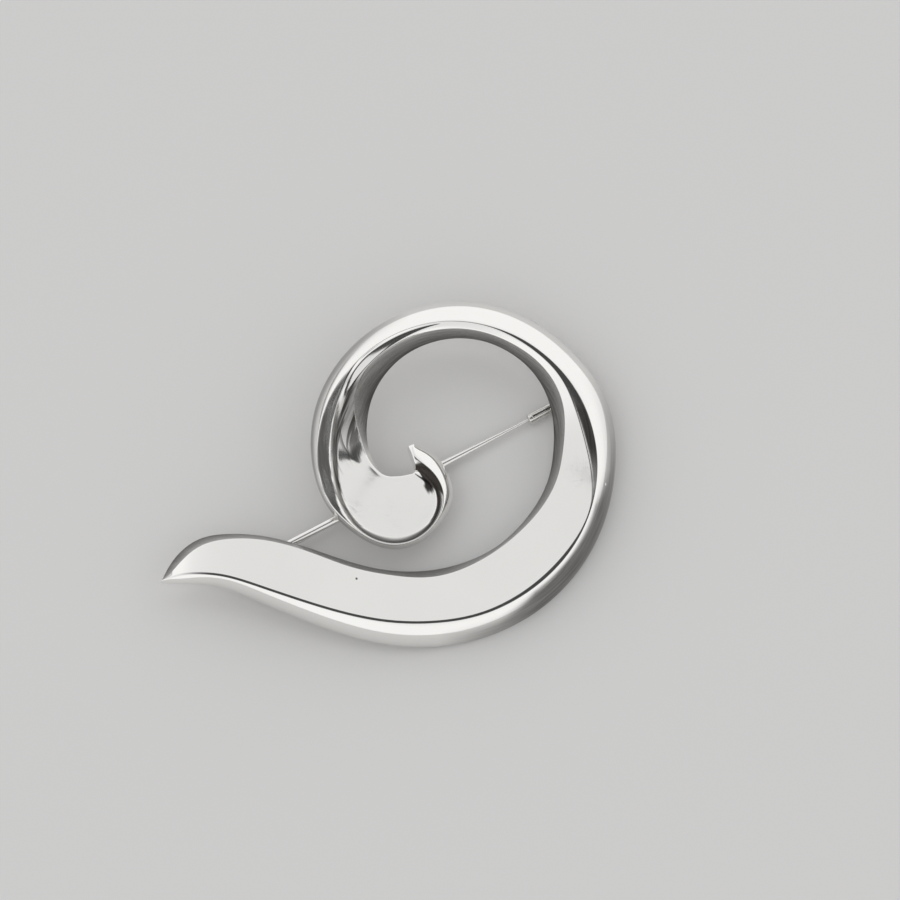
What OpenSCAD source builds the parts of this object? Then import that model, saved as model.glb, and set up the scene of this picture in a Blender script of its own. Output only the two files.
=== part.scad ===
/* [Ribbon] */
// Height of the rounded outer band's shoulder, as a share of the crest height
shoulder = 0.65; // [0.6:0.05:0.8]
// Number of cross sections along the ribbon
ribbon_rings = 160; // [120:10:180]

/* [Pin] */
// Thickness of the pin wire
pin_d = 0.96; // [0.8:0.02:1.1]
// Thickness of the sharpened pin where the catch holds it
pin_tip_d = 0.4; // [0.3:0.02:0.4]
// Distance of the pin's centre line behind the flat back
pin_depth = 1.7; // [1.6:0.05:2.2]
// Slope of the pin across the brooch, in degrees
pin_slope = 28.2; // [27:0.1:29]
// Length of the pin from the hinge centre to its point
pin_l = 40.1; // [39.5:0.1:40.2]
// Distance over which the root of the pin swells out to its eye
pin_root_l = 2.2; // [1.8:0.1:2.6]
// Distance from the hinge centre to the end of the full-thickness part of the pin
pin_shank_l = 23.5; // [16:0.5:24]
// Length of the sharpened cone of the pin
pin_cone_l = 10; // [8:1:12]

/* [Hinge] */
// Place of the hinge centre from the ring centre, to the right
hinge_x = -23.1; // [-24:0.1:-22]
// Place of the hinge centre from the ring centre, upwards
hinge_y = -12.57; // [-13:0.01:-12]
// Outer thickness of the hinge knuckles
knuckle_d = 2.2; // [1.9:0.05:2.4]
// Width of each of the two knuckles
knuckle_w = 0.9; // [0.7:0.05:1.2]
// Width of the eye at the root of the pin
eye_w = 1.2; // [1:0.05:1.4]
// Side play of the eye between the knuckles
eye_play = 0.05; // [0.03:0.01:0.08]
// Thickness of the rivet
rivet_d = 0.7; // [0.6:0.02:0.8]
// Running play around the rivet
rivet_play = 0.03; // [0.02:0.01:0.05]
// Thickness of the rivet heads
rivet_head_d = 1.2; // [1:0.05:1.4]
// Height of the rivet heads
rivet_head_h = 0.25; // [0.2:0.05:0.3]
// Thickness of the solder pad that carries the knuckles
pad_t = 0.5; // [0.4:0.05:0.55]

/* [Catch] */
// Distance from the hinge centre to the open end of the catch
catch_from = 34.9; // [34.5:0.1:35]
// Length of the catch
catch_l = 5.4; // [4.5:0.1:5.6]
// Outer thickness of the rolled catch
catch_d = 1.24; // [1.1:0.02:1.5]
// Wall of the rolled catch
catch_wall = 0.22; // [0.18:0.01:0.26]
// Half of the mouth angle that lets the pin out, in degrees
mouth_half = 42; // [38:1:46]
// Width of the slot on the side that faces the front
slot_w = 0.36; // [0.3:0.02:0.4]
// Length of the closed end before that slot starts
slot_from = 0.55; // [0.4:0.05:0.8]
// Length of the solder foot under the ribbon
catch_foot_l = 2.4; // [2:0.1:2.6]

/* [Hidden] */
$fn = 48;

// Feet of the ribbon on its flat back, from the tail point round to the beak point.
// Columns: outer foot x, outer foot y, inner foot x, inner foot y
OUTLINE = [
    [-33.0, -15.2, -32.9, -14.95],
    [-32.0, -15.3, -32.45, -13.95],
    [-30.4, -15.35, -31.3, -12.1],
    [-28.2, -15.45, -28.9, -10.15],
    [-25.4, -16.0, -25.4, -9.6],
    [-21.8, -17.5, -21.0, -9.95],
    [-17.8, -19.2, -16.4, -11.3],
    [-13.2, -20.9, -11.9, -12.85],
    [-8.0, -22.2, -7.8, -13.75],
    [-2.3, -22.35, -3.6, -13.75],
    [3.4, -21.1, 0.4, -12.85],
    [8.9, -18.1, 4.4, -10.8],
    [13.3, -13.5, 7.7, -7.3],
    [16.1, -7.9, 9.7, -3.6],
    [17.25, -1.8, 10.35, 0.3],
    [16.85, 4.1, 10.2, 4.2],
    [14.6, 8.8, 8.9, 7.8],
    [9.95, 13.6, 6.3, 10.7],
    [3.9, 16.6, 2.5, 12.6],
    [-2.8, 16.9, -1.8, 12.75],
    [-9.1, 14.4, -5.8, 11.15],
    [-13.6, 10.05, -8.55, 8.35],
    [-16.1, 4.9, -10.0, 5.1],
    [-16.55, -0.55, -10.3, 1.6],
    [-15.2, -5.75, -9.7, -0.9],
    [-12.4, -9.0, -8.6, -2.6],
    [-8.6, -11.3, -7.6, -3.05],
    [-4.6, -10.8, -6.4, -3.0],
    [-1.6, -7.8, -5.5, -2.8],
    [-0.7, -4.5, -5.15, -2.6],
    [-2.2, -1.15, -5.15, -2.1],
    [-4, 0.1, -5.55, -0.9],
    [-4.75, 0.3, -5.9, -0.05],
];

// Shape of the section at each row of the outline.
// Columns: crest setback, crest height, width of the level strip behind the crest, width of the bank
// after it, height at the foot of the bank, distance of the fold from the crest, fold height,
// bulge of the face after the fold, inner edge setback, inner edge height
PROFILE = [
    [0.1, 0.7, 0, 0.03, 0.7, 0.03, 0.7, 0, 0.1, 0.6],
    [0.36, 1.05, 0, 0.12, 1.05, 0.12, 1.05, 0, 0.72, 0.73],
    [0.75, 1.4, 0, 0.22, 1.4, 0.22, 1.4, 0, 1.2, 0.92],
    [0.78, 1.8, 0, 0.3, 1.8, 0.3, 1.8, 0, 1.15, 1.2],
    [0.88, 2.2, 0, 0.33, 2.2, 0.33, 2.2, 0, 0.95, 1.55],
    [1.1, 2.5, 0, 0.33, 2.5, 0.33, 2.5, 0, 0.85, 1.8],
    [1.35, 2.8, 0, 0.33, 2.8, 0.33, 2.8, 0, 0.85, 2.05],
    [1.6, 3, 0, 0.33, 3, 0.33, 3, 0, 1.05, 2.2],
    [1.85, 3.15, 0, 0.33, 3.15, 0.33, 3.15, 0, 1, 2.3],
    [1.95, 3.2, 0, 0.33, 3.2, 0.33, 3.2, 0, 1.35, 2.3],
    [1.8, 3.2, 0, 0.35, 3.2, 0.35, 3.2, 0, 1.1, 2.3],
    [1.8, 3.2, 0, 0.4, 3.2, 0.4, 3.2, 0, 0.75, 2.3],
    [1.7, 3.2, 0, 0.4, 3.2, 0.4, 3.2, 0, 0.95, 2.3],
    [1.8, 3.2, 0, 0.12, 3.2, 0.12, 3.2, 0, 1.1, 2.35],
    [2.25, 3.12, 0, 1.2, 3.07, 1.2, 3.07, 0, 1.1, 2.4],
    [3.05, 3.02, 0, 1.2, 2.96, 1.2, 2.96, 0, 1.3, 2.4],
    [3.3, 2.97, 0, 0.6, 2.92, 0.6, 2.92, 0, 1.05, 2.45],
    [3.1, 2.97, 0, 0.45, 2.92, 0.45, 2.92, 0, 0.5, 2.5],
    [3.15, 2.97, 0, 0.15, 2.95, 0.15, 2.95, 0, 0.3, 2.6],
    [2.95, 3, 0, 0.2, 2.92, 0.2, 2.93, 0.04, 0.5, 2.6],
    [2.65, 3, 0, 0.25, 2.8, 0.9, 2.8, 0.06, 0.9, 2.5],
    [2.2, 3, 0.05, 0.3, 2.72, 1.3, 2.76, 0.08, 1.55, 2.45],
    [1.55, 2.95, 1.1, 0.6, 2.72, 1.7, 2.8, 0.1, 1.8, 2.4],
    [0.85, 2.6, 1.5, 0.9, 0.62, 2.9, 0.8, 0.1, 0.8, 0.78],
    [0.2, 2.15, 1.6, 0.8, 1.02, 5.4, 0.92, 0, 0.6, 0.9],
    [0.2, 1.8, 0.25, 0.85, 1.12, 6.5, 0.87, 0, 0.3, 0.87],
    [0.2, 1.8, 0, 0.85, 1.22, 7.6, 0.88, 0, 0.15, 0.88],
    [0.2, 1.8, 0, 0.85, 1.22, 7.4, 0.88, 0, 0.12, 0.88],
    [0.6, 1.85, 0, 1, 1.12, 5.3, 0.88, 0, 0.12, 0.88],
    [2, 2, 0, 1.8, 1, 2.3, 0.9, 0, 0.12, 0.88],
    [2.35, 2.05, 0, 0.3, 2.04, 0.3, 2.04, 0, 0.12, 1.95],
    [1.4, 2, 0, 0.05, 2, 0.05, 2, 0, 0.12, 1.9],
    [0.3, 1.8, 0, 0.05, 1.8, 0.05, 1.8, 0, 0.12, 1.7],
];

// Points across each stretch of a section
BAND_PTS = 6;
BANK_PTS = 7;
RISE_PTS = 3;
FACE_PTS = 3;
WALL_PTS = 2;
// Least widths that keep the crest, the fold and the inner edge apart
CREST_GAP = 0.02;
FACE_GAP = 0.06;
// Largest share of the way to the fold that the bank may take
BANK_SHARE = 0.8;
// How gently the bank runs out at its foot, how late the floor rises to the fold,
// and how closely the points gather at the fold
BANK_EASE = 1.5;
RISE_EASE = 6;
FOLD_GATHER = 1.7;
// Depth by which the solder feet of the hinge and the catch sink into the ribbon
foot_sink = 0.3;
// Difference between the thickness of the knuckles and of the pin's eye
eye_trim = 0.2;
// Gap between the rivet heads and the knuckles
head_gap = 0.02;

// A row of a table, carried on in a straight line past either end
function row(tab, i) =
    let (n = len(tab) - 1)
    i < 0 ? 2 * tab[0] - tab[-i] : i > n ? 2 * tab[n] - tab[2 * n - i] : tab[i];

// Control row that makes the smooth curve pass through row i
function control(tab, i) = row(tab, i) - (row(tab, i - 1) - 2 * row(tab, i) + row(tab, i + 1)) / 6;

// Values of a table at the place t, on a smooth curve through its rows
function eased(tab, t) =
    let (
        i = min(floor(t), len(tab) - 2),
        f = t - i,
        before = pow(1 - f, 3) * control(tab, i - 1),
        here = (3 * pow(f, 3) - 6 * f * f + 4) * control(tab, i),
        next = (-3 * pow(f, 3) + 3 * f * f + 3 * f + 1) * control(tab, i + 1),
        after = pow(f, 3) * control(tab, i + 2)
    )
    (before + here + next + after) / 6;

function clamp(x, low, high) = min(max(x, low), high);

// One section of the ribbon as distance from the outer foot and height, then as points in space
function section(share) =
    let (
        feet = eased(OUTLINE, share * (len(OUTLINE) - 1)),
        form = eased(PROFILE, share * (len(PROFILE) - 1)),
        outer = [feet[0], feet[1]],
        across = [feet[2], feet[3]] - outer,
        wide = norm(across),
        crest_h = form[1],
        strip = max(form[2], 0),
        bank = max(form[3], CREST_GAP),
        low = form[4],
        fold_h = form[6],
        bulge = form[7],
        edge_in = form[8],
        edge_h = form[9],
        edge_at = wide - edge_in,
        crest_at = clamp(form[0], CREST_GAP, edge_at - FACE_GAP),
        fold_at = clamp(crest_at + form[5], crest_at + CREST_GAP, edge_at - CREST_GAP),
        span = fold_at - crest_at,
        bank_end = min(strip + bank, BANK_SHARE * span),
        bank_places = [for (k = [0:BANK_PTS - 1]) bank_end * k / BANK_PTS],
        rise_places = [for (k = [0:RISE_PTS - 1])
            span - (span - bank_end) * pow(1 - k / RISE_PTS, FOLD_GATHER)],
        band = [for (k = [0:BAND_PTS - 1]) let (s = k / BAND_PTS)
            [s * s * crest_at, 2 * s * (1 - s) * shoulder * crest_h + s * s * crest_h]],
        hollow = [for (d = concat(bank_places, rise_places)) let (s = d / span)
            [crest_at + d,
             low + (fold_h - low) * (fold_h > low ? pow(s, RISE_EASE) : s)
             + (crest_h - low) * pow(clamp(1 - (d - strip) / bank, 0, 1), BANK_EASE)]],
        face = [for (k = [0:FACE_PTS - 1]) let (s = k / FACE_PTS)
            [fold_at + (edge_at - fold_at) * s,
             fold_h + (edge_h - fold_h) * s + bulge * 4 * s * (1 - s)]],
        wall = [for (k = [0:WALL_PTS]) let (s = k / WALL_PTS) [edge_at + edge_in * s, edge_h * (1 - s)]]
    )
    [for (p = concat(band, hollow, face, wall))
        [outer[0] + across[0] * p[0] / wide, outer[1] + across[1] * p[0] / wide, p[1]]];

SECTIONS = [for (k = [0:ribbon_rings]) section(k / ribbon_rings)];
SECTION_PTS = len(SECTIONS[0]);
RIBBON_POINTS = [for (s = SECTIONS) each s];

// Places that the hinge, the pin and the catch share
pin_along = [cos(pin_slope), sin(pin_slope), 0];
pin_across = [-sin(pin_slope), cos(pin_slope), 0];
hinge_at = [hinge_x, hinge_y, -pin_depth];
hinge_half_w = eye_w / 2 + eye_play + knuckle_w;

// The brooch lies face up on its hinge, its catch and its rim. These are the three lowest points:
// the rim point is first the one farthest beside the pin, then the lowest one above that plane.
hinge_low = hinge_at - pin_across * hinge_half_w - [0, 0, knuckle_d / 2];
catch_low = hinge_at + pin_along * (catch_from + catch_l)
    - pin_across * catch_d / 2 * sin(mouth_half) - [0, 0, catch_d / 2 * cos(mouth_half)];
function lowest(direction) =
    let (heights = RIBBON_POINTS * direction, low = min(heights))
    RIBBON_POINTS[search(low, heights)[0]];
function plane_up(rim) = let (up = cross(rim - hinge_low, catch_low - hinge_low)) up / norm(up);
rest_up = plane_up(lowest(plane_up(lowest(pin_across))));
rest_tilt = acos(rest_up[2]);
rest_axis = cross(rest_up, [0, 0, 1]) / sin(rest_tilt);

// A point of the brooch turned into the lying position
function turned(p) =
    p * cos(rest_tilt) + cross(rest_axis, p) * sin(rest_tilt)
    + rest_axis * (rest_axis * p) * (1 - cos(rest_tilt));
TURNED = [for (p = RIBBON_POINTS) turned(p)];
function middle(k) = let (all = [for (p = TURNED) p[k]]) (min(all) + max(all)) / 2;
base_centre = [middle(0), middle(1), hinge_low * rest_up];

// Lays the brooch down with the centre of its base at the origin
module at_rest() {
    translate(-base_centre) rotate(a = rest_tilt, v = rest_axis) children();
}

// Puts X along the pin, Y along the hinge axis and the origin in the hinge centre
module in_pin_frame() {
    translate(hinge_at) rotate([0, 0, pin_slope]) children();
}

module ribbon() {
    rings = len(SECTIONS);
    pts = SECTION_PTS;
    sides = [for (i = [0:rings - 2], j = [0:pts - 1]) let (k = (j + 1) % pts)
        each [[i * pts + j, i * pts + k, (i + 1) * pts + k],
              [i * pts + j, (i + 1) * pts + k, (i + 1) * pts + j]]];
    tail_end = [for (j = [1:pts - 2]) [0, j + 1, j]];
    last = (rings - 1) * pts;
    beak_end = [for (j = [1:pts - 2]) [last, last + j, last + j + 1]];
    polyhedron(points = RIBBON_POINTS, faces = concat(sides, tail_end, beak_end), convexity = 10);
}

module axle(d, from, to) {
    translate([0, from, 0]) rotate([-90, 0, 0]) cylinder(d = d, h = to - from);
}

module hinge_knuckles() {
    gap = eye_w + 2 * eye_play;
    pad_low = pin_depth - pad_t;
    difference() {
        union() {
            for (side = [-1, 1]) {
                from = side > 0 ? gap / 2 : -hinge_half_w;
                axle(knuckle_d, from, from + knuckle_w);
                translate([-knuckle_d / 2, from, 0]) cube([knuckle_d, knuckle_w, pin_depth]);
            }
            translate([-knuckle_d / 2, -hinge_half_w, pad_low])
                cube([knuckle_d, 2 * hinge_half_w, pad_t + foot_sink]);
        }
        axle(rivet_d + 2 * rivet_play, -hinge_half_w - 1, hinge_half_w + 1);
    }
}

module catch_roll() {
    reach = catch_d;
    difference() {
        union() {
            translate([catch_from, 0, 0]) rotate([90, 0, 90]) linear_extrude(catch_l) difference() {
                circle(d = catch_d);
                circle(d = catch_d - 2 * catch_wall);
                polygon([[0, 0], [-reach * tan(mouth_half), -reach], [reach * tan(mouth_half), -reach]]);
            }
            translate([catch_from + catch_l - catch_foot_l, -catch_d / 2, catch_d / 2 - catch_wall])
                cube([catch_foot_l, catch_d, pin_depth - catch_d / 2 + catch_wall + foot_sink]);
        }
        translate([catch_from + slot_from, -slot_w / 2, 0])
            cube([catch_l - catch_foot_l - slot_from, slot_w, catch_d]);
    }
}

module spiral_body() {
    color("silver") at_rest() {
        ribbon();
        in_pin_frame() {
            hinge_knuckles();
            catch_roll();
        }
    }
}

module pin_stem() {
    tip_l = pin_l - pin_shank_l - pin_cone_l;
    color("gainsboro") at_rest() in_pin_frame() difference() {
        union() {
            axle(knuckle_d - eye_trim, -eye_w / 2, eye_w / 2);
            rotate([0, 90, 0]) cylinder(d1 = eye_w, d2 = pin_d, h = pin_root_l);
            rotate([0, 90, 0]) cylinder(d = pin_d, h = pin_shank_l);
            translate([pin_shank_l, 0, 0]) rotate([0, 90, 0])
                cylinder(d1 = pin_d, d2 = pin_tip_d, h = pin_cone_l);
            translate([pin_shank_l + pin_cone_l, 0, 0]) rotate([0, 90, 0])
                cylinder(d = pin_tip_d, h = tip_l - pin_tip_d / 2);
            translate([pin_l - pin_tip_d / 2, 0, 0]) sphere(d = pin_tip_d);
        }
        axle(rivet_d + 2 * rivet_play, -eye_w, eye_w);
    }
}

module hinge_rivet() {
    inner = hinge_half_w + head_gap;
    outer = inner + rivet_head_h;
    color("darkgray") at_rest() in_pin_frame() {
        axle(rivet_d, -inner, inner);
        axle(rivet_head_d, inner, outer);
        axle(rivet_head_d, -outer, -inner);
    }
}

spiral_body();
pin_stem();
hinge_rivet();
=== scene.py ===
import math

import bmesh
import bpy
import numpy as np
from mathutils import Matrix, Vector


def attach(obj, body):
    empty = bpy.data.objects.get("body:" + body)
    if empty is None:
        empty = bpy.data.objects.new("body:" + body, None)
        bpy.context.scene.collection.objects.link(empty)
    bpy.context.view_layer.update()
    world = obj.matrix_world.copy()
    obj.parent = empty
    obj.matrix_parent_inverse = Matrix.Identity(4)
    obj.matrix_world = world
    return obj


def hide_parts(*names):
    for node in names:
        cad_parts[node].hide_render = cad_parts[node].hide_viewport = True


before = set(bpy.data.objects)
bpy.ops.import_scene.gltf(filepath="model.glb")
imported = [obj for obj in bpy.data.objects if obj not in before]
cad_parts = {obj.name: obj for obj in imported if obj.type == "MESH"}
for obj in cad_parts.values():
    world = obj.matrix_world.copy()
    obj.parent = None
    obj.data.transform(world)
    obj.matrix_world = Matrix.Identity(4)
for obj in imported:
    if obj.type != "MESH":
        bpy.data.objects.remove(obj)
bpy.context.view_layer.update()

# The silver ribbon. One casting of sterling silver with a flat back, thick along its rounded outer rim, that
# runs from a pointed tail through the ring to a hollowed paddle and a curled beak. It was filed to a crisp
# crest and buffed to a mirror by hand, so its faces are a little uneven.

# Both edges of the flat back, in millimetres, from the tail to the beak.
FEET = (
    # outer x, outer y, inner x, inner y
    (-33.00, -15.20, -32.90, -14.95),
    (-32.00, -15.30, -32.45, -13.95),
    (-30.40, -15.35, -31.30, -12.10),
    (-28.20, -15.45, -28.90, -10.15),
    (-25.40, -16.00, -25.40,  -9.60),
    (-21.80, -17.50, -21.00,  -9.95),
    (-17.80, -19.20, -16.40, -11.30),
    (-13.20, -20.90, -11.90, -12.85),
    ( -8.00, -22.20,  -7.80, -13.75),
    ( -2.30, -22.35,  -3.60, -13.75),
    (  3.40, -21.10,   0.40, -12.85),
    (  8.90, -18.10,   4.40, -10.80),
    ( 13.30, -13.50,   7.70,  -7.30),
    ( 16.10,  -7.90,   9.70,  -3.60),
    ( 17.25,  -1.80,  10.35,   0.30),
    ( 16.85,   4.10,  10.20,   4.20),
    ( 14.60,   8.80,   8.90,   7.80),
    (  9.95,  13.60,   6.30,  10.70),
    (  3.90,  16.60,   2.50,  12.60),
    ( -2.80,  16.90,  -1.80,  12.75),
    ( -9.10,  14.40,  -5.80,  11.15),
    (-13.60,  10.05,  -8.55,   8.35),
    (-16.10,   4.90, -10.00,   5.10),
    (-16.55,  -0.55, -10.30,   1.60),
    (-15.20,  -5.75,  -9.70,  -0.90),
    (-12.40,  -9.00,  -8.60,  -2.60),
    ( -8.60, -11.30,  -7.60,  -3.05),
    ( -4.60, -10.80,  -6.40,  -3.00),
    ( -1.60,  -7.80,  -5.50,  -2.80),
    ( -0.70,  -4.50,  -5.15,  -2.60),
    ( -2.20,  -1.15,  -5.15,  -2.10),
    ( -4.00,   0.10,  -5.55,  -0.90),
    ( -4.75,   0.30,  -5.90,  -0.05),
)
# The section at each row of the feet, in millimetres. The crest lies in from the outer foot, the fold in from
# the crest and the inner edge in from the inner foot. Behind the crest come a level strip and a bank that
# falls to the floor of the hollow. After the fold comes the face, which may bulge.
FORM = (
    # crest in, crest up, strip wide, bank wide, floor up, fold in, fold up, bulge, edge in, edge up
    (0.10, 0.70, 0.00, 0.03, 0.70, 0.03, 0.70, 0.00, 0.10, 0.60),
    (0.36, 1.05, 0.00, 0.12, 1.05, 0.12, 1.05, 0.00, 0.72, 0.73),
    (0.75, 1.40, 0.00, 0.22, 1.40, 0.22, 1.40, 0.00, 1.20, 0.92),
    (0.78, 1.80, 0.00, 0.30, 1.80, 0.30, 1.80, 0.00, 1.15, 1.20),
    (0.88, 2.20, 0.00, 0.33, 2.20, 0.33, 2.20, 0.00, 0.95, 1.55),
    (1.10, 2.50, 0.00, 0.33, 2.50, 0.33, 2.50, 0.00, 0.85, 1.80),
    (1.35, 2.80, 0.00, 0.33, 2.80, 0.33, 2.80, 0.00, 0.85, 2.05),
    (1.60, 3.00, 0.00, 0.33, 3.00, 0.33, 3.00, 0.00, 1.05, 2.20),
    (1.85, 3.15, 0.00, 0.33, 3.15, 0.33, 3.15, 0.00, 1.00, 2.30),
    (1.95, 3.20, 0.00, 0.33, 3.20, 0.33, 3.20, 0.00, 1.35, 2.30),
    (1.80, 3.20, 0.00, 0.35, 3.20, 0.35, 3.20, 0.00, 1.10, 2.30),
    (1.80, 3.20, 0.00, 0.40, 3.20, 0.40, 3.20, 0.00, 0.75, 2.30),
    (1.70, 3.20, 0.00, 0.40, 3.20, 0.40, 3.20, 0.00, 0.95, 2.30),
    (1.80, 3.20, 0.00, 0.12, 3.20, 0.12, 3.20, 0.00, 1.10, 2.35),
    (2.25, 3.12, 0.00, 1.20, 3.07, 1.20, 3.07, 0.00, 1.10, 2.40),
    (3.05, 3.02, 0.00, 1.20, 2.96, 1.20, 2.96, 0.00, 1.30, 2.40),
    (3.30, 2.97, 0.00, 0.60, 2.92, 0.60, 2.92, 0.00, 1.05, 2.45),
    (3.10, 2.97, 0.00, 0.45, 2.92, 0.45, 2.92, 0.00, 0.50, 2.50),
    (3.15, 2.97, 0.00, 0.15, 2.95, 0.15, 2.95, 0.00, 0.30, 2.60),
    (2.95, 3.00, 0.00, 0.20, 2.92, 0.20, 2.93, 0.04, 0.50, 2.60),
    (2.65, 3.00, 0.00, 0.25, 2.80, 0.90, 2.80, 0.06, 0.90, 2.50),
    (2.20, 3.00, 0.05, 0.30, 2.72, 1.30, 2.76, 0.08, 1.55, 2.45),
    (1.55, 2.95, 1.10, 0.60, 2.72, 1.70, 2.80, 0.10, 1.80, 2.40),
    (0.85, 2.60, 1.50, 0.90, 0.62, 2.90, 0.80, 0.10, 0.80, 0.78),
    (0.20, 2.15, 1.60, 0.80, 1.02, 5.40, 0.92, 0.00, 0.60, 0.90),
    (0.20, 1.80, 0.25, 0.85, 1.12, 6.50, 0.87, 0.00, 0.30, 0.87),
    (0.20, 1.80, 0.00, 0.85, 1.22, 7.60, 0.88, 0.00, 0.15, 0.88),
    (0.20, 1.80, 0.00, 0.85, 1.22, 7.40, 0.88, 0.00, 0.12, 0.88),
    (0.60, 1.85, 0.00, 1.00, 1.12, 5.30, 0.88, 0.00, 0.12, 0.88),
    (2.00, 2.00, 0.00, 1.80, 1.00, 2.30, 0.90, 0.00, 0.12, 0.88),
    (2.35, 2.05, 0.00, 0.30, 2.04, 0.30, 2.04, 0.00, 0.12, 1.95),
    (1.40, 2.00, 0.00, 0.05, 2.00, 0.05, 2.00, 0.00, 0.12, 1.90),
    (0.30, 1.80, 0.00, 0.05, 1.80, 0.05, 1.80, 0.00, 0.12, 1.70),
)
RIM_SHOULDER = 0.65  # height of the point that pulls the rim's curve outwards, in heights of the crest
BANK_EASE, FLOOR_RISE = 1.5, 6  # powers: the bank flattens to its toe, and the floor rises late to the fold
TOE_RANGE = 0.3, 0.85  # least and most share of the hollow from the crest to the toe of the bank
LEAST_W, LEAST_WALL = 0.02, 0.05  # least width of a stretch on the top, and of the inner wall
SAMPLES = 200  # points along a stretch of the section


def eased(table, place):
    """Values of a table at places counted in rows, on a smooth curve through its rows."""
    rows = np.array(table, float)
    rows = np.vstack([2 * rows[0] - rows[2:0:-1], rows, 2 * rows[-1] - rows[-2:-4:-1]])
    control = rows[1:-1] - (rows[:-2] - 2 * rows[1:-1] + rows[2:]) / 6
    i = np.minimum(np.floor(place).astype(int), len(table) - 2)
    f = (place - i)[:, None]
    weights = ((1 - f) ** 3, 3 * f ** 3 - 6 * f ** 2 + 4, -3 * f ** 3 + 3 * f ** 2 + 3 * f + 1, f ** 3)
    return sum(w * control[i + k] for k, w in enumerate(weights)) / 6


def section_lines(rows):
    """The six stretches of the section at every place, as distance from the outer foot and height."""
    feet = eased(FEET, rows)
    crest_in, crest_up, strip, bank, floor, fold_in, fold_up, bulge, edge_in, edge_up = (
        eased(FORM, rows).T[:, :, None])
    wide = np.linalg.norm(feet[:, 2:] - feet[:, :2], axis=1)[:, None]
    edge_at = wide - np.maximum(edge_in, LEAST_WALL)
    crest_at = np.minimum(np.maximum(crest_in, LEAST_W), edge_at - 3 * LEAST_W)
    fold_at = np.clip(crest_at + fold_in, crest_at + LEAST_W, edge_at - LEAST_W)
    hollow = fold_at - crest_at
    toe = np.clip(strip + bank, TOE_RANGE[0] * hollow, TOE_RANGE[1] * hollow)
    s = np.linspace(0, 1, SAMPLES)[None, :]

    def behind_crest(d):
        share = d / hollow
        rise = np.where(fold_up > floor, share ** FLOOR_RISE, share) * (fold_up - floor)
        left = np.clip(1 - (d - np.maximum(strip, 0)) / np.maximum(bank, LEAST_W), 0, 1) ** BANK_EASE
        return np.stack([crest_at + d, floor + rise + (crest_up - floor) * left], -1)

    rim = np.stack([s ** 2 * crest_at, 2 * s * (1 - s) * RIM_SHOULDER * crest_up + s ** 2 * crest_up], -1)
    face = np.stack([fold_at + (edge_at - fold_at) * s,
                     fold_up + (edge_up - fold_up) * s + bulge * 4 * s * (1 - s)], -1)
    wall = np.stack([edge_at + (wide - edge_at) * s, edge_up * (1 - s)], -1)
    back = np.stack([wide * (1 - s), 0 * wide * s], -1)
    return feet, wide, (rim, behind_crest(toe * s), behind_crest(toe + (hollow - toe) * s), face, wall, back)


# Points of the mesh along a stretch of the section: how far the near ones lie from a corner in millimetres,
# and how many more lie between. The bank curves most where it leaves the crest, so it has more of them there.
CORNER = (0, 0.035, 0.075, 0.125, 0.19, 0.28)
FILLET = CORNER + (0.4, 0.55, 0.75, 1.0, 1.3)
FOOT = (0, 0.04, 0.1, 0.2)
STRETCHES = (  # points after its start, points before its end, points between
    (FOOT, CORNER, 9), (FILLET, FOOT, 9), (FOOT, CORNER, 6), (CORNER, CORNER, 8), (CORNER, FOOT, 3),
    (FOOT, FOOT, 3))
RIM, BANK, FLOOR, FACE, WALL, BACK = range(6)
NEAR_MOST = 0.45  # most share of a stretch that the near points at one corner take
RINGS = 960  # sections along the ribbon
ROUNDING_STEPS = 1024  # even steps round a section, for the blur
# Rounding of the edges along the ribbon: crisp where the file left a crest, soft in the paddle.
ROUNDING = ((0, 0.05), (3, 0.035), (13, 0.035), (17, 0.07), (22, 0.07), (25, 0.16))  # row, millimetres


def lengths(line):
    """Distance along a line of points, one line for each section."""
    step = np.linalg.norm(np.diff(line, axis=1), axis=2)
    return np.concatenate([np.zeros((len(line), 1)), np.cumsum(step, 1)], 1)


def spread(length, near_start, near_end, between):
    """Places along one stretch, close together at its two corners."""
    squeeze = min(1, NEAR_MOST * length / max(near_start[-1], near_end[-1]))
    a, b = np.array(near_start) * squeeze, length - np.array(near_end)[::-1] * squeeze
    return np.concatenate([a, np.linspace(a[-1], b[0], between + 2)[1:-1], b])


def rounded(curve, whole, width):
    """A closed curve of even steps with its corners rounded by a soft blur as wide as given."""
    wave = np.exp(-2 * (math.pi * width * np.arange(ROUNDING_STEPS // 2 + 1) / whole) ** 2)
    soft = np.fft.irfft(np.fft.rfft(curve, axis=1) * wave, ROUNDING_STEPS, axis=1)
    return np.concatenate([soft, soft[:, :1]], 1)


def ribbon_rings():
    """Every ring of the ribbon as points in space, and the distance across the ribbon of each point."""
    rows = np.linspace(0, 1, RINGS) * (len(FEET) - 1)
    feet, wide, lines = section_lines(rows)
    measured = [lengths(line) for line in lines]
    whole = sum(m[:, -1] for m in measured)
    widths = np.interp(rows, *zip(*ROUNDING))
    rings, across = [], []
    for k in range(RINGS):
        start = np.concatenate([[0], np.cumsum([m[k, -1] for m in measured])])
        along = np.concatenate([start[j] + m[k, :-1] for j, m in enumerate(measured)] + [[whole[k]]])
        points = np.concatenate([line[k, :-1] for line in lines] + [lines[0][k, :1]])
        even = np.arange(ROUNDING_STEPS) * whole[k] / ROUNDING_STEPS
        curve = np.stack([np.interp(even, along, points[:, c]) for c in (0, 1)])
        soft = rounded(curve, whole[k], widths[k])
        places = np.concatenate([start[j] + spread(measured[j][k, -1], *points_of)[:-1]
                                 for j, points_of in enumerate(STRETCHES)])
        w, z = (np.interp(places, np.append(even, whole[k]), soft[c]) for c in (0, 1))
        way = (feet[k, 2:] - feet[k, :2]) / wide[k]
        rings.append(np.column_stack([feet[k, :2] + way * w[:, None], z]))
        across.append(places)
    return np.array(rings), np.array(across)


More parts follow.
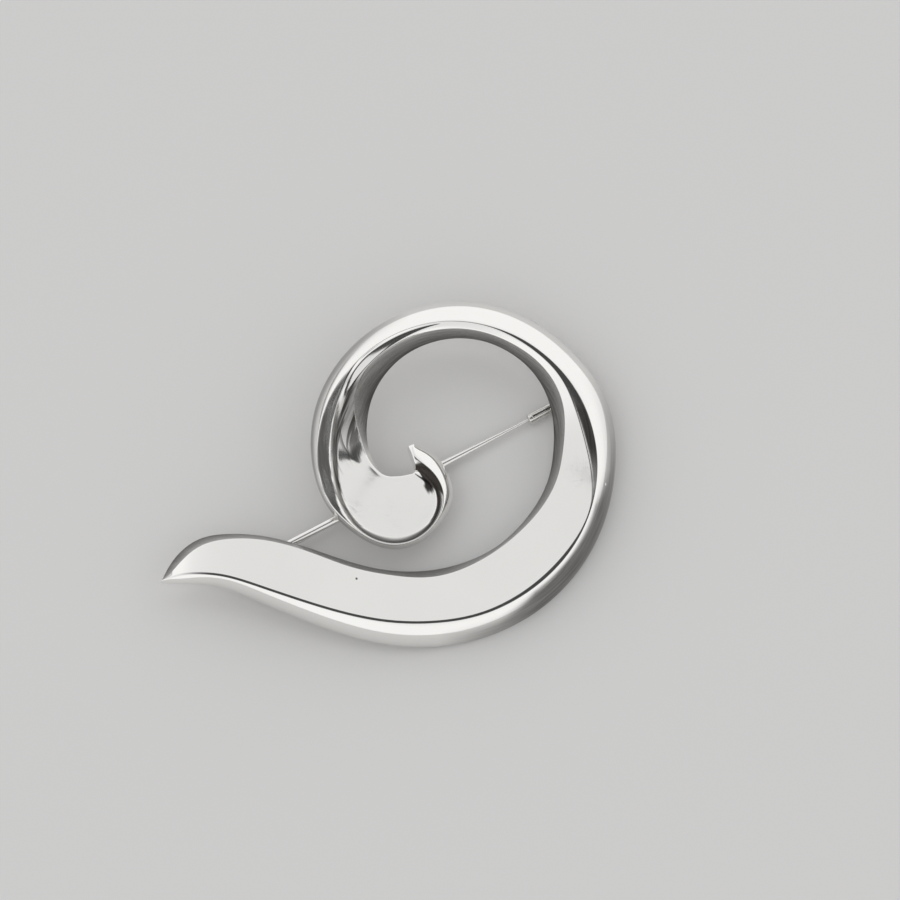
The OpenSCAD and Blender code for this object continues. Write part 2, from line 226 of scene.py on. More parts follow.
# Painted reflection: grey is painted into the silver where it would mirror dark surroundings that are not
# built. How grey, at rows along the ribbon.
PAINTED_GREY = (
    # row, rim, bank, face, inner wall
    ( 0.0, 0.00, 0.00, 0.00, 0.42),
    ( 4.0, 0.00, 0.00, 0.00, 0.44),
    ( 9.0, 0.00, 0.00, 0.00, 0.45),
    (10.0, 0.25, 0.00, 0.00, 0.45),
    (11.0, 0.50, 0.00, 0.00, 0.45),
    (13.0, 0.50, 0.00, 0.00, 0.45),
    (13.6, 0.40, 0.30, 0.00, 0.48),
    (14.1, 0.30, 0.70, 0.00, 0.50),
    (14.9, 0.18, 0.70, 0.00, 0.50),
    (15.5, 0.08, 0.00, 0.00, 0.50),
    (16.0, 0.00, 0.00, 0.00, 0.50),
    (19.5, 0.00, 0.00, 0.00, 0.50),
    (20.5, 0.30, 0.00, 0.15, 0.50),
    (21.3, 0.40, 0.00, 0.25, 0.50),
    (21.8, 0.40, 0.00, 0.50, 0.50),
    (22.5, 0.45, 0.35, 0.40, 0.45),
    (23.2, 0.45, 0.65, 0.05, 0.30),
    (23.8, 0.40, 0.65, 0.00, 0.00),
    (24.5, 0.35, 0.50, 0.00, 0.00),
    (25.5, 0.20, 0.55, 0.00, 0.00),
    (27.0, 0.10, 0.60, 0.00, 0.00),
    (28.2, 0.05, 0.80, 0.00, 0.00),
    (29.3, 0.00, 0.90, 0.00, 0.00),
    (29.8, 0.00, 0.60, 0.00, 0.10),
    (30.1, 0.00, 0.00, 0.00, 0.00),
    (32.0, 0.00, 0.00, 0.00, 0.00),
)
# The shares of the crest's height between which the grey of the rim fades out, where it stays low and where
# it reaches nearly to the crest, as at the ring's lower right. Then which of the two, at rows of the ribbon.
RIM_FADE_LOW, RIM_FADE_HIGH = (0.45, 0.92), (0.85, 0.98)
RIM_REACH = ((10.2, 0), (11, 1), (13, 1), (13.8, 0))
# The shares of the bank's height between which its grey comes in above the toe and fades out below the crest.
BANK_FADE_IN, BANK_FADE_OUT = (0.01, 0.08), (0.45, 0.95)
LEAST_BANK = 0.1  # least height of a bank, in millimetres
WALL_FOOT, WALL_LIGHTER = 1.35, 0.8  # grey at the foot of the inner wall, and how much less at its edge
# The step from the hollow up to the beak is grey as a whole. The row where that begins, across the floor of
# the hollow from the bank at 0 to the fold at 1, and the rows where it ends.
STEP_START = ((0, 28.35), (0.25, 28.3), (0.44, 27.9), (0.62, 28.8), (1, 29.1))
STEP_EASE, STEP_END, STEP_GREY = 0.2, (29.75, 30.05), 0.9
# Where buffing left streaks, at rows along the ribbon: on the bank, and on the floor and the face.
STREAKS_ON_BANK = ((21.2, 0), (22.2, 1), (24, 1), (25, 0))
STREAKS_ON_FLOOR = ((21.2, 0), (22.2, 1), (23.1, 1), (23.9, 0))
WALL_SATIN, BACK_SATIN = 0.4, 1.0


def smooth(value, start, end):
    """Goes softly from 0 to 1 while the value goes from start to end."""
    t = np.clip((value - start) / (end - start), 0, 1)
    return t * t * (3 - 2 * t)


def painted_greyness(rows, heights, stretch):
    """How much painted grey, standing for reflections of dark surroundings, the silver gets at every point,
    from its row, its height and its stretch.
    """
    at, *columns = zip(*PAINTED_GREY)
    rim, bank, face, wall = (np.interp(rows, at, column)[:, None] for column in columns)
    _, crest_up, _, _, floor, _, _, _, _, edge_up = eased(FORM, rows).T[:, :, None]
    reach = np.interp(rows, *zip(*RIM_REACH))[:, None]
    up_bank = (heights - floor) / np.maximum(crest_up - floor, LEAST_BANK)
    across_floor = np.cumsum(stretch == FLOOR) / np.sum(stretch == FLOOR)
    start = np.interp(across_floor, *zip(*STEP_START))
    row = rows[:, None]
    step = STEP_GREY * smooth(row, start, start + STEP_EASE) * (1 - smooth(row, *STEP_END))
    fade = [a + (b - a) * reach for a, b in zip(RIM_FADE_LOW, RIM_FADE_HIGH)]
    rim = rim * (1 - smooth(heights / crest_up, *fade))
    bank = bank * smooth(up_bank, *BANK_FADE_IN) * (1 - smooth(up_bank, *BANK_FADE_OUT))
    wall = wall * (WALL_FOOT - WALL_LIGHTER * heights / edge_up)
    in_hollow = (stretch == BANK) | (stretch == FLOOR)
    return np.select([stretch == RIM, in_hollow, stretch == FACE, stretch == WALL],
                     [rim, np.maximum(bank, step), np.maximum(face, step), wall], 0)


def streakiness(rows, stretch):
    """How streaky the silver is at every point, from its row and its stretch."""
    on_bank, on_floor = (np.interp(rows, *zip(*t))[:, None] for t in (STREAKS_ON_BANK, STREAKS_ON_FLOOR))
    return on_bank * (stretch == BANK) + on_floor * ((stretch == FLOOR) | (stretch == FACE))


# How the brooch lies: on its hinge, its catch and its rim. The hinge and the catch stand behind the flat
# back, and the pin runs from one to the other. All sizes are in millimetres.
PIN_SLOPE, PIN_DEPTH = math.radians(28.2), 1.7
HINGE = Vector((-23.1, -12.57, -PIN_DEPTH))
PIN_WAY = Vector((math.cos(PIN_SLOPE), math.sin(PIN_SLOPE), 0))
HINGE_WAY = Vector((-math.sin(PIN_SLOPE), math.cos(PIN_SLOPE), 0))
KNUCKLE_D, KNUCKLE_W, EYE_W, EYE_PLAY = 2.2, 0.9, 1.2, 0.05
HINGE_HALF = EYE_W / 2 + EYE_PLAY + KNUCKLE_W
CATCH_FROM, CATCH_L, CATCH_D = 34.9, 5.4, 1.24
MOUTH = math.radians(42)  # half of the angle that the catch is open at its underside
MM = 0.001  # a millimetre in metres
PLAIN_RINGS, PLAIN_STEP = 161, 8  # sections of the plain ribbon, and how many samples apart its points lie


def plain_points():
    """The ribbon with sharp corners, as the solid has it, to lay the brooch down by."""
    feet, wide, lines = section_lines(np.linspace(0, 1, PLAIN_RINGS) * (len(FEET) - 1))
    flat = np.concatenate([line[:, ::PLAIN_STEP] for line in lines], 1)
    way = (feet[:, 2:] - feet[:, :2]) / wide
    spots = feet[:, None, :2] + way[:, None, :] * flat[:, :, :1]
    return np.concatenate([spots, flat[:, :, 1:]], 2).reshape(-1, 3)


def lying_place(plain):
    """Turns millimetres of the brooch seen square from the front into metres of the brooch as it lies."""
    hinge_low = HINGE - HINGE_WAY * HINGE_HALF - Vector((0, 0, KNUCKLE_D / 2))
    catch_low = (HINGE + PIN_WAY * (CATCH_FROM + CATCH_L) - HINGE_WAY * (CATCH_D / 2 * math.sin(MOUTH))
                 - Vector((0, 0, CATCH_D / 2 * math.cos(MOUTH))))
    up = HINGE_WAY
    for _ in range(2):
        rim_low = Vector(plain[np.argmin(plain @ np.array(up))])
        up = (rim_low - hinge_low).cross(catch_low - hinge_low).normalized()
    turn = up.rotation_difference(Vector((0, 0, 1))).to_matrix()
    turned = plain @ np.array(turn).T
    middle = (turned.min(0) + turned.max(0)) / 2
    base = Vector((middle[0], middle[1], hinge_low.dot(up)))
    return Matrix.Scale(MM, 4) @ Matrix.Translation(-base) @ turn.to_4x4()


lying = lying_place(plain_points())


def solid(name, points, faces):
    """A piece made of points in millimetres, laid down as the brooch lies."""
    mesh = bpy.data.meshes.new(name)
    mesh.from_pydata([lying @ Vector(p) for p in points], [], faces)
    mesh.shade_smooth()
    mesh.validate()
    piece = bpy.data.objects.new(name, mesh)
    bpy.context.scene.collection.objects.link(piece)
    return piece


TIP_TURNS = (18, 36, 54, 72, 84)  # degrees round a rounded tip
TAIL_TIP, BEAK_TIP = 0.04, 0.15  # how far the two tips stand out, in millimetres
UV_SPAN = 100  # millimetres of the ribbon across the whole of its UV map


def rounded_end(ring, next_ring, depth):
    """Rings that close the ribbon with a small rounded tip, from the end ring outwards."""
    outwards = (ring - next_ring).mean(0)
    outwards /= np.linalg.norm(outwards)
    middle = ring.mean(0)
    turns = [math.radians(a) for a in TIP_TURNS]
    return [middle + (ring - middle) * math.cos(a) + outwards * depth * math.sin(a) for a in turns]


def ribbon_faces(n, m):
    """Faces of a tube of n rings of m points, with a face across each end."""
    i, j = np.meshgrid(np.arange(n - 1), np.arange(m), indexing="ij")
    k = (j + 1) % m
    faces = np.stack([i * m + j, (i + 1) * m + j, (i + 1) * m + k, i * m + k], -1).reshape(-1, 4).tolist()
    return faces + [list(range(m)), list(range(n * m - 1, (n - 1) * m - 1, -1))]


def make_ribbon():
    """The ribbon, with its polish and its painted grey as attributes and its length and width as a UV map."""
    rings, across = ribbon_rings()
    tail = rounded_end(rings[0], rings[4], TAIL_TIP)
    beak = rounded_end(rings[-1], rings[-5], BEAK_TIP)
    last = len(FEET) - 1
    rows = np.concatenate([[0] * len(tail), np.linspace(0, last, RINGS), [last] * len(beak)])
    across = np.concatenate([across[:1]] * len(tail) + [across] + [across[-1:]] * len(beak))
    rings = np.array(tail[::-1] + list(rings) + beak)
    n, m, _ = rings.shape
    piece = solid("silver_ribbon", rings.reshape(-1, 3).tolist(), ribbon_faces(n, m))

    run = np.concatenate([[0], np.cumsum(np.linalg.norm(np.diff(rings.mean(1), axis=0), axis=1))])
    where = np.stack([np.repeat(run, m), across.reshape(-1)], 1) / UV_SPAN
    corner = np.zeros(len(piece.data.loops), int)
    piece.data.loops.foreach_get("vertex_index", corner)
    piece.data.uv_layers.new(name="ribbon").data.foreach_set("uv", where[corner].reshape(-1))

    stretch = np.repeat(range(len(STRETCHES)), [len(a) + len(b) + more - 1 for a, b, more in STRETCHES])
    satin = WALL_SATIN * (stretch == WALL) + BACK_SATIN * (stretch == BACK)
    # The grey attribute is painted reflection of dark surroundings; satin and streaky are the silver's
    # finish.
    finish_and_painted_grey = {"satin": np.tile(satin, (n, 1)), "streaky": streakiness(rows, stretch),
              "grey": painted_greyness(rows, rings[:, :, 2], stretch)}
    for name, values in finish_and_painted_grey.items():
        attribute = piece.data.attributes.new(name, "FLOAT", "POINT")
        attribute.data.foreach_set("value", values.reshape(-1).astype(np.float32))
    return piece


ribbon = make_ribbon()


def put(tree, kind, sockets, output=0, **options):
    """Adds a shader node, sets its options and fills its sockets with numbers or other nodes' outputs."""
    made = tree.nodes.new("ShaderNode" + kind)
    for key, value in options.items():
        setattr(made, key, value)
    for key, value in sockets.items():
        if isinstance(value, bpy.types.NodeSocket):
            tree.links.new(value, made.inputs[key])
        else:
            made.inputs[key].default_value = value
    return made.outputs[output]


def maths(tree, kind, *values):
    return put(tree, "Math", dict(enumerate(values)), operation=kind)


def times(tree, *values):
    return maths(tree, "MULTIPLY", *values)


def plus(tree, *values):
    return maths(tree, "ADD", *values)


def times_plus(tree, *values):
    """The first value times the second plus the third."""
    return maths(tree, "MULTIPLY_ADD", *values)


def ramp(tree, value, start, end, low=0.0, high=1.0):
    """Goes softly from low to high while the value goes from start to end."""
    sockets = {"Value": value, "From Min": start, "From Max": end, "To Min": low, "To Max": high}
    return put(tree, "MapRange", sockets, interpolation_type="SMOOTHSTEP")


def mixed(tree, share, first, second):
    """A colour between two others. Sockets 0, 6 and 7 are the share and the colours, and 2 is the result."""
    return put(tree, "Mix", {0: share, 6: first, 7: second}, 2, data_type="RGBA")


def stretched(tree, place, factors):
    return put(tree, "VectorMath", {0: place, 1: factors}, operation="MULTIPLY")


def cloud(tree, place, factors, detail=2.0):
    """Noise on a place, stretched by factors."""
    return put(tree, "TexNoise", {"Vector": stretched(tree, place, factors), "Scale": 1.0, "Detail": detail})


def noise(tree, place, per_mm, detail=2.0):
    """Noise on a place in metres, with so many features to the millimetre each way."""
    return cloud(tree, place, [f / MM for f in per_mm], detail)


def hairlines(tree, pattern, width):
    """Thin lines where a noise pattern passes its middle value."""
    off = maths(tree, "ABSOLUTE", maths(tree, "SUBTRACT", pattern, 0.5))
    return ramp(tree, off, 0.0, width, 1.0, 0.0)


def spot(tree, place, at, radius):
    """A soft round spot at a place of the brooch, given in millimetres seen square from the front."""
    distance = put(tree, "VectorMath", {0: place, 1: lying @ Vector(at)}, "Value", operation="DISTANCE")
    return ramp(tree, distance, 0.0, radius * MM, 1.0, 0.0)


def metal(name, colour):
    """A new metal with an uneven colour, its shader, the place on the piece in metres, and that colour."""
    material = bpy.data.materials.new(name)
    material.use_nodes = True
    tree = material.node_tree
    shader = tree.nodes["Principled BSDF"]
    shader.inputs["Metallic"].default_value = 1
    place = put(tree, "TexCoord", {}, "Object")
    tone = noise(tree, place, (0.12, 0.12, 0.12), 3)
    light, dark = ((*(c * f for c in colour), 1) for f in (1.0, 0.94))
    base = mixed(tree, tone, light, dark)
    tree.links.new(base, shader.inputs["Base Color"])
    return material, tree, shader, place, base


def finish_metal(tree, shader, height, roughness):
    """Joins a height in millimetres and a roughness to the shader."""
    bump = put(tree, "Bump", {"Distance": MM, "Height": height})
    tree.links.new(bump, shader.inputs["Normal"])
    tree.links.new(roughness, shader.inputs["Roughness"])


# The silver's own colour, and the dark that the painted grey mixes it to: a painted reflection of dark
# surroundings, and the dark of the pit.
BUFFED, REFLECTION_AND_PIT_DARK = (0.95, 0.94, 0.92), (0.045, 0.04, 0.036, 1)
PIT_AT, PIT_R = (-11.36, -15.28, 2.41), 0.18  # a dark casting pit in the broad face
GLINT_DENT_AT, GLINT_DENT_R = (16.02, -4.53, 2.38), 0.22  # a dent in the rim, where the painted grey is cleared: a painted glint
DENT_DEPTH = 0.06


def polished_silver():
    """Hand-buffed silver, with painted grey where it would mirror dark surroundings, streaks, hairlines, a
    pit and a dent with a painted glint.
    """
    material, tree, shader, place, base = metal("polished_silver", BUFFED)
    run = stretched(tree, put(tree, "UVMap", {}, uv_map="ribbon"), (UV_SPAN, UV_SPAN, 0))
    satin, streaky, grey = (put(tree, "Attribute", {}, "Fac", attribute_name=name)
                            for name in ("satin", "streaky", "grey"))
    streak = cloud(tree, run, (0.15, 1.3, 1))
    mottle = cloud(tree, run, (0.2, 3.5, 1), 3.0)
    pit = spot(tree, place, PIT_AT, PIT_R)
    glint_dent = spot(tree, place, GLINT_DENT_AT, GLINT_DENT_R)

    # Painted reflection: the grey, mottled and streaked, mixes the silver's colour towards the dark one; the
    # pit adds its dark.
    grey = times(tree, grey, times_plus(tree, mottle, 0.8, 0.6))
    flames = times(tree, streaky, ramp(tree, streak, 0.48, 0.6, 0.0, 0.4))
    grey = plus(tree, plus(tree, grey, flames), pit)
    # Painted glint: the grey is taken away at the dent in the rim, so that spot shows bright.
    grey = times(tree, maths(tree, "MINIMUM", grey, 0.9), maths(tree, "SUBTRACT", 1.0, glint_dent))
    bright = maths(tree, "POWER", maths(tree, "SUBTRACT", 1.0, grey), 2.2)
    tree.links.new(mixed(tree, bright, REFLECTION_AND_PIT_DARK, base), shader.inputs["Base Color"])

    along, aslant = noise(tree, place, (0.5, 3.2, 1), 1), noise(tree, place, (4.1, 0.35, 1), 1)
    lines = plus(tree, hairlines(tree, along, 0.006), hairlines(tree, aslant, 0.005))
    scratches = times(tree, lines, ramp(tree, noise(tree, place, (0.4, 0.4, 0.4)), 0.5, 0.62))
    waves = times(tree, noise(tree, place, (0.3, 0.3, 0.3)), 0.006)
    ridges = times(tree, streak, times_plus(tree, streaky, 0.1, 0.0008))
    skin = times(tree, noise(tree, place, (3, 3, 3), 4), times(tree, satin, 0.012))
    height = plus(tree, plus(tree, waves, ridges), skin)
    height = times_plus(tree, scratches, -0.0004, height)
    height = times_plus(tree, plus(tree, pit, glint_dent), -DENT_DEPTH, height)

    rough = times_plus(tree, satin, 0.28, 0.045)
    for cause, amount in ((scratches, 0.07), (mottle, 0.05), (grey, 0.2), (streaky, 0.15)):
        rough = times_plus(tree, cause, amount, rough)
    finish_metal(tree, shader, height, rough)
    return material


ribbon.data.materials.append(polished_silver())
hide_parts("spiral_body")
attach(ribbon, "brooch")

# The hinge on the back. Two silver knuckles stand on a small pad that is soldered under the tail, and are
# drilled through for the rivet. They are sawn and filed by hand, so their edges are softly broken.
BORE_D, PAD_T, FOOT_SINK = 0.76, 0.5, 0.25
KNUCKLE_TURNS, HINGE_EDGE = 32, 0.07
SHARP = math.radians(35)
SAME_PLACE = 1e-7


def by_pin(x, y, z):
    """A point given along the pin, along the hinge and upwards from the hinge's centre, as the brooch's."""
    return HINGE + PIN_WAY * x + HINGE_WAY * y + Vector((0, 0, z))


def softened(mesh, width, steps):
    """Breaks the sharp edges of a mesh in metres by so many millimetres."""
    shape = bmesh.new()
    shape.from_mesh(mesh)
    bmesh.ops.remove_doubles(shape, verts=shape.verts, dist=SAME_PLACE)
    bmesh.ops.recalc_face_normals(shape, faces=shape.faces)
    sharp = [e for e in shape.edges if len(e.link_faces) == 2 and e.calc_face_angle() > SHARP]
    bmesh.ops.bevel(shape, geom=sharp, offset=width * MM, segments=steps, affect="EDGES",
                    clamp_overlap=True)
    shape.to_mesh(mesh)
    shape.free()
    mesh.shade_smooth()


def joined(name, parts, edge, steps=2):
    """A piece of several closed parts, each given as points and faces, with its sharp edges broken."""
    points, faces = [], []
    for more, sides in parts:
        faces += [tuple(len(points) + v for v in side) for side in sides]
        points += more
    piece = solid(name, points, faces)
    softened(piece.data, edge, steps)
    return piece


def block(low, high):
    """A block between two points given by the pin."""
    xs, ys, zs = zip(low, high)
    corners = [by_pin(x, y, z) for x in xs for y in ys for z in zs]
    return corners, [(0, 1, 3, 2), (4, 6, 7, 5), (0, 4, 5, 1), (2, 3, 7, 6), (0, 2, 6, 4), (1, 5, 7, 3)]


def knuckle(start):
    """A drilled knuckle with a round lower half and a straight stem up to the back of the ribbon."""
    r, bore, turns = KNUCKLE_D / 2, BORE_D / 2, KNUCKLE_TURNS
    ways = [(math.sin(math.tau * (k + 0.5) / turns), math.cos(math.tau * (k + 0.5) / turns))
            for k in range(turns)]
    stem = [max(abs(x) / r, abs(z) / PIN_DEPTH) for x, z in ways]
    outer = [(r * x, r * z) if z < 0 else (x / s, z / s) for (x, z), s in zip(ways, stem)]
    inner = [(bore * x, bore * z) for x, z in ways]
    points = [by_pin(x, y, z) for y in (start, start + KNUCKLE_W) for ring in (outer, inner) for x, z in ring]
    a, b, c, d = 0, turns, 2 * turns, 3 * turns
    faces = []
    for k in range(turns):
        n = (k + 1) % turns
        faces += [(a + k, a + n, b + n, b + k), (c + k, d + k, d + n, c + n),
                  (a + k, c + k, c + n, a + n), (b + k, b + n, d + n, d + k)]
    return points, faces


def filed_silver(name, colour, unevenness, roughness):
    """Silver of a small filed piece: fine file marks and uneven gloss."""
    material, tree, shader, place, _ = metal(name, colour)
    marks = hairlines(tree, noise(tree, place, (5, 1.2, 1.2), 1), 0.03)
    height = times(tree, noise(tree, place, (1.6, 1.6, 1.6), 3), unevenness)
    height = times_plus(tree, marks, -0.0008, height)
    rough = times_plus(tree, noise(tree, place, (2.5, 2.5, 2.5)), 0.12, roughness)
    finish_metal(tree, shader, height, rough)
    return material


pad = block((-KNUCKLE_D / 2, -HINGE_HALF, PIN_DEPTH - PAD_T),
            (KNUCKLE_D / 2, HINGE_HALF, PIN_DEPTH + FOOT_SINK))
hinge = joined("hinge_knuckles", [knuckle(EYE_W / 2 + EYE_PLAY), knuckle(-HINGE_HALF), pad], HINGE_EDGE)
fitting_silver = filed_silver("fitting_silver", (0.84, 0.83, 0.8), 0.012, 0.16)
hinge.data.materials.append(fitting_silver)
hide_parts("spiral_body")
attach(hinge, "brooch")

# The catch on the back. A strip of silver is rolled into an open tube that takes the point of the pin from
# below. It has a slot on its front side, and stands on a solder foot under the right side of the ring.
CATCH_WALL, SLOT_W, SLOT_FROM, FOOT_L = 0.22, 0.36, 0.55, 2.4
SLOT_TO = CATCH_L - FOOT_L
LIP, FOOT_STEP, CATCH_EDGE = 0.12, 0.02, 0.05
SLOT_CELLS, FOOT_CELLS, SIDE_CELLS = 6, 4, 16


def catch_tube():
    """The rolled strip with its slot: cells of an outer and an inner layer, with walls where a cell ends."""
    xs = [0, LIP, SLOT_FROM / 2, SLOT_FROM]
    slot_start = len(xs) - 1
    xs += [SLOT_FROM + (SLOT_TO - SLOT_FROM) * k / SLOT_CELLS for k in range(1, SLOT_CELLS + 1)]
    xs += [SLOT_TO + FOOT_L * k / FOOT_CELLS for k in range(1, FOOT_CELLS + 1)]
    half_slot = SLOT_W / CATCH_D
    side = [half_slot + (math.pi - MOUTH - half_slot) * k / SIDE_CELLS for k in range(SIDE_CELLS + 1)]
    turns = [-a for a in side[::-1]] + side
    points = [by_pin(CATCH_FROM + x, r * math.sin(a), r * math.cos(a))
              for r in (CATCH_D / 2, CATCH_D / 2 - CATCH_WALL) for x in xs for a in turns]
    nx, nt = len(xs), len(turns)
    slot = [(slot_start + i, SIDE_CELLS) for i in range(SLOT_CELLS)]
    cells = {(i, j) for i in range(nx - 1) for j in range(nt - 1) if (i, j) not in slot}

    def at(layer, i, j):
        return (layer * nx + i) * nt + j

    faces = []
    for i, j in cells:
        loop = [(i, j), (i + 1, j), (i + 1, j + 1), (i, j + 1)]
        faces.append(tuple(at(0, *p) for p in loop))
        faces.append(tuple(at(1, *p) for p in loop[::-1]))
        for k, (di, dj) in enumerate(((0, -1), (1, 0), (0, 1), (-1, 0))):
            if (i + di, j + dj) not in cells:
                p, q = loop[k], loop[(k + 1) % 4]
                faces.append((at(0, *q), at(0, *p), at(1, *p), at(1, *q)))
    return points, faces


catch_foot = block((CATCH_FROM + SLOT_TO, -CATCH_D / 2 + FOOT_STEP, CATCH_D / 2 - CATCH_WALL),
                   (CATCH_FROM + CATCH_L - FOOT_STEP, CATCH_D / 2 - FOOT_STEP, PIN_DEPTH + FOOT_SINK))
catch = joined("catch", [catch_tube(), catch_foot], CATCH_EDGE)
catch.data.materials.append(fitting_silver)
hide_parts("spiral_body")
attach(catch, "brooch")

# The pin. Hard-drawn silver wire that swells into a drilled eye at its root and is filed to a long point. It
# turns on the rivet, and its point lies in the catch.
PIN_D, TIP_D, PIN_L, ROOT_L, SHANK_L, CONE_L = 0.96, 0.4, 40.1, 2.2, 23.5, 10.0
EYE_D, EYE_EDGE, BORE_EDGE = 2.0, 0.08, 0.06
TIP_L, TIP_DOME = 0.2, 0.19  # room for the rounded end of the point, and its height
WIRE_TURNS, EYE_TURNS, SHANK_RINGS, CONE_RINGS = 32, 40, 12, 8
PIN_EDGE = 0.02


def ring_faces(pairs, turns):
    """Faces between pairs of rings, given by their numbers."""
    return [(i * turns + k, i * turns + (k + 1) % turns, j * turns + (k + 1) % turns, j * turns + k)
            for i, j in pairs for k in range(turns)]


def turned_round(profile, way):
    """A closed turned shape from distances along the pin or along the hinge, and radii."""
    turns, last = WIRE_TURNS, len(profile) - 1
    points = []
    for along, radius in profile:
        for k in range(turns):
            a = math.tau * k / turns
            s, c = radius * math.sin(a), radius * math.cos(a)
            points.append(by_pin(along, s, c) if way == "pin" else by_pin(s, along, c))
    faces = ring_faces([(i, i + 1) for i in range(last)], turns)
    faces.append(tuple(range(turns)))
    faces.append(tuple(range(last * turns, (last + 1) * turns))[::-1])
    return points, faces


def drilled_eye():
    """The flat round eye, drilled for the rivet, with its outer edges rounded."""
    r, bore, turns = EYE_D / 2, BORE_D / 2, EYE_TURNS
    half, soft, nearly = EYE_W / 2, EYE_EDGE, EYE_EDGE * 0.3
    one_side = [(-half, bore), (-half, bore + BORE_EDGE), (-half, r - soft), (-half + nearly, r - nearly),
                (-half + soft, r)]
    profile = one_side + [(-y, q) for y, q in one_side[::-1]]
    points = [by_pin(q * math.sin(math.tau * k / turns), y, q * math.cos(math.tau * k / turns))
              for y, q in profile for k in range(turns)]
    return points, ring_faces([(i, (i + 1) % len(profile)) for i in range(len(profile))], turns)


def wire_profile():
    """Distances along the pin and radii, from inside the eye to the tip."""
    root = [(0.5, 0.3), (0.5, 0.55), (1.2, 0.52), (ROOT_L - 0.4, 0.49), (ROOT_L, PIN_D / 2)]
    shank = [(ROOT_L + (SHANK_L - ROOT_L) * k / SHANK_RINGS, PIN_D / 2) for k in range(1, SHANK_RINGS + 1)]
    cone = [(SHANK_L + CONE_L * k / CONE_RINGS, (PIN_D + (TIP_D - PIN_D) * k / CONE_RINGS) / 2)
            for k in range(1, CONE_RINGS + 1)]
    point = [(PIN_L - TIP_L + TIP_DOME * math.sin(a), TIP_D / 2 * math.cos(a))
             for a in (0, 0.4, 0.8, 1.2, 1.45)]
    return root + shank + cone + point


pin = joined("pin_wire", [turned_round(wire_profile(), "pin"), drilled_eye()], PIN_EDGE, 1)
pin.data.materials.append(filed_silver("drawn_wire", (0.9, 0.89, 0.87), 0.004, 0.05))
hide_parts("pin_stem")
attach(pin, "pin")

# The rivet. A short silver wire through the knuckles and the eye. Both of its ends are spread by a hammer to
# low domes, which keep it in the hinge.
RIVET_D, HEAD_D, HEAD_H, HEAD_GAP = 0.7, 1.2, 0.25, 0.02
HEAD_FROM, HEAD_CHAMFER, HEAD_EDGE, RIVET_EDGE = HINGE_HALF + HEAD_GAP, 0.03, 0.04, 0.01
DOME_H = HEAD_H - 2 * HEAD_EDGE - RIVET_EDGE
head = [(HEAD_FROM, RIVET_D / 2), (HEAD_FROM, HEAD_D / 2 - HEAD_CHAMFER), (HEAD_FROM + HEAD_EDGE, HEAD_D / 2)]
head += [(HEAD_FROM + 2 * HEAD_EDGE + DOME_H * math.sin(a), HEAD_D / 2 * math.cos(a))
         for a in (0.3, 0.7, 1.1, 1.4)]
rivet_profile = [(-y, r) for y, r in head[::-1]] + head
rivet = joined("hinge_rivet_visual", [turned_round(rivet_profile, "hinge")], RIVET_EDGE, 1)
rivet.data.materials.append(filed_silver("hammered_wire", (0.86, 0.85, 0.82), 0.015, 0.1))
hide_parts("hinge_rivet")
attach(rivet, "brooch")

# The camera. It looks from 15 degrees below the line square to the back, and its frame is 100 mm wide.
CAMERA_TILT = math.radians(15)
FRAME_PIXELS, PIXELS_PER_MM = 900, 9
AIM_PIXELS = (-10, 0)  # from the brooch's own zero to the middle of the frame
LENS, SENSOR = 180, 36
CLIP_START = 0.01
camera_data = bpy.data.cameras.new("camera")
camera_data.lens = LENS
camera_data.sensor_width = SENSOR
camera_data.clip_start = CLIP_START
camera = bpy.data.objects.new("camera", camera_data)
bpy.context.scene.collection.objects.link(camera)
bpy.context.scene.camera = camera


def facing(x, y, z):
    """A way of the brooch seen square from the front, as it is when the brooch lies."""
    return (lying.to_3x3() @ Vector((x, y, z))).normalized()


towards = facing(0, -math.sin(CAMERA_TILT), math.cos(CAMERA_TILT))
upwards = facing(0, math.cos(CAMERA_TILT), math.sin(CAMERA_TILT))
aim = lying @ Vector((AIM_PIXELS[0] / PIXELS_PER_MM, AIM_PIXELS[1] / PIXELS_PER_MM, 0))
away = FRAME_PIXELS / PIXELS_PER_MM * MM * LENS / SENSOR
turn = Matrix((upwards.cross(towards), upwards, towards)).transposed().to_4x4()
camera.matrix_world = Matrix.Translation(aim + towards * away) @ turn

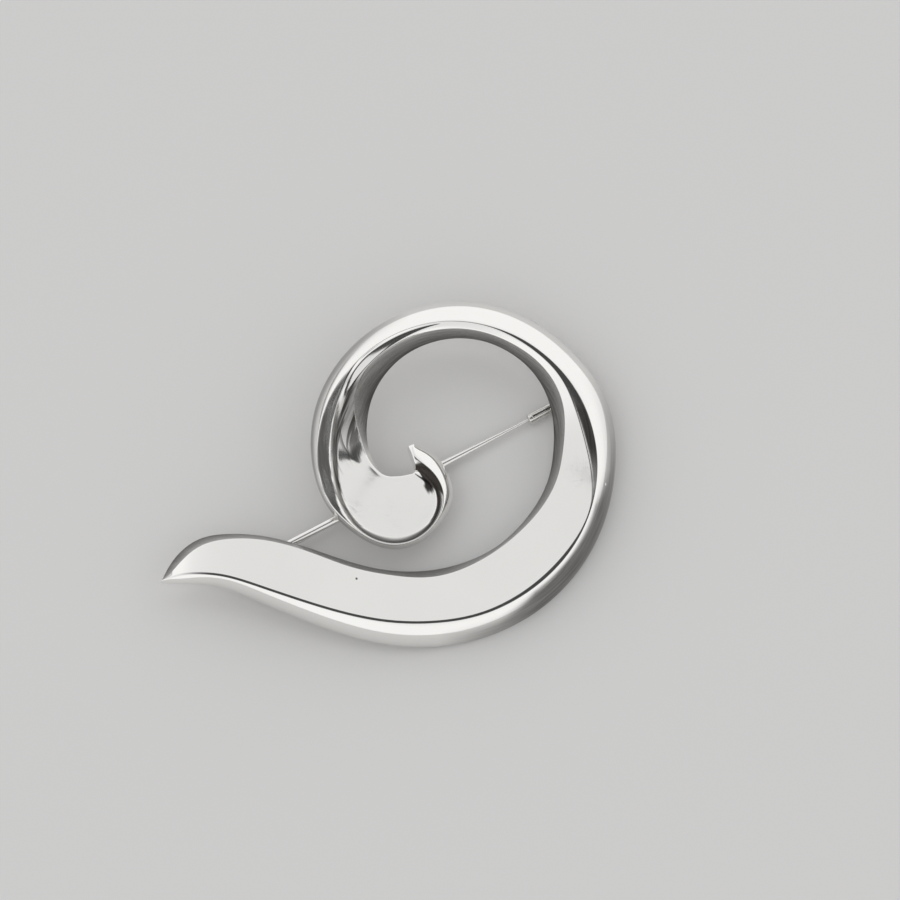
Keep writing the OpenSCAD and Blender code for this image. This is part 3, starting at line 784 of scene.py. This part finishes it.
# The floor. A plain pale sheet, four metres across.
FLOOR_HALF, FLOOR_COLOUR, FLOOR_ROUGHNESS = 2, (0.74, 0.735, 0.73, 1), 0.9
floor_mesh = bpy.data.meshes.new("floor")
floor_mesh.from_pydata([(x * FLOOR_HALF, y * FLOOR_HALF, 0) for x, y in ((-1, -1), (1, -1), (1, 1), (-1, 1))],
                       [], [(0, 1, 2, 3)])
floor = bpy.data.objects.new("floor", floor_mesh)
bpy.context.scene.collection.objects.link(floor)
floor_material = bpy.data.materials.new("pale_floor")
floor_material.use_nodes = True
floor_shader = floor_material.node_tree.nodes["Principled BSDF"]
floor_shader.inputs["Base Color"].default_value = FLOOR_COLOUR
floor_shader.inputs["Roughness"].default_value = FLOOR_ROUGHNESS
floor_mesh.materials.append(floor_material)

# The light. A white tent stands all round the brooch, with one dark slot above it, which the level strips of
# the silver mirror as dark lines. The tent is darker low down, but for two bright sides, and straight above.
SLOT_X, SLOT_Y, SLOT_LEAN = (0.09, 0.49), (0.115, 0.18), 0.07  # middle and half size; lean to the right
SLOT_CORNERS = 4.0
DARKEST = 0.06
world = bpy.data.worlds.new("studio")
bpy.context.scene.world = world
world.use_nodes = True
sky = world.node_tree
sky_place = put(sky, "TexCoord", {}, "Generated")


def lean(way):
    """How far a direction of the sky leans to a given way, from -1 to 1."""
    return put(sky, "VectorMath", {0: sky_place, 1: way}, "Value", operation="DOT_PRODUCT")


def slot_part(way, middle, half):
    """How far a direction lies from the slot's middle, in half sizes, to a power that rounds its corners."""
    part = maths(sky, "DIVIDE", maths(sky, "SUBTRACT", lean(way), middle), half)
    return maths(sky, "POWER", maths(sky, "ABSOLUTE", part), SLOT_CORNERS)


right, up, front = facing(1, 0, 0), facing(0, 1, 0), facing(0, 0, 1)
from_slot = plus(sky, slot_part(right, *SLOT_X), slot_part(up + right * SLOT_LEAN, *SLOT_Y))
from_slot = maths(sky, "POWER", from_slot, 1 / SLOT_CORNERS)
tent = maths(sky, "MAXIMUM", ramp(sky, from_slot, 0.88, 1.06), ramp(sky, lean(front), 0.0, 0.2, 1.0, 0.0))
glow = ramp(sky, lean(front), 0.5, 0.88, 0.92, 0.74)
low = ramp(sky, lean((0, 0, 1)), 0.02, 0.2, 0.3, 1.0)
sides = maths(sky, "MAXIMUM", ramp(sky, lean(right * 0.6 + up * 0.8), 0.1, 0.5),
              ramp(sky, lean(-up), 0.55, 0.85))
edge = plus(sky, low, times(sky, maths(sky, "SUBTRACT", 1.0, low), sides))
light = times(sky, edge, times_plus(sky, tent, glow, DARKEST))
sky.links.new(light, sky.nodes["Background"].inputs["Strength"])
sky.nodes["Background"].inputs["Color"].default_value = (1, 1, 1, 1)

bpy.context.scene.view_settings.view_transform = "Standard"
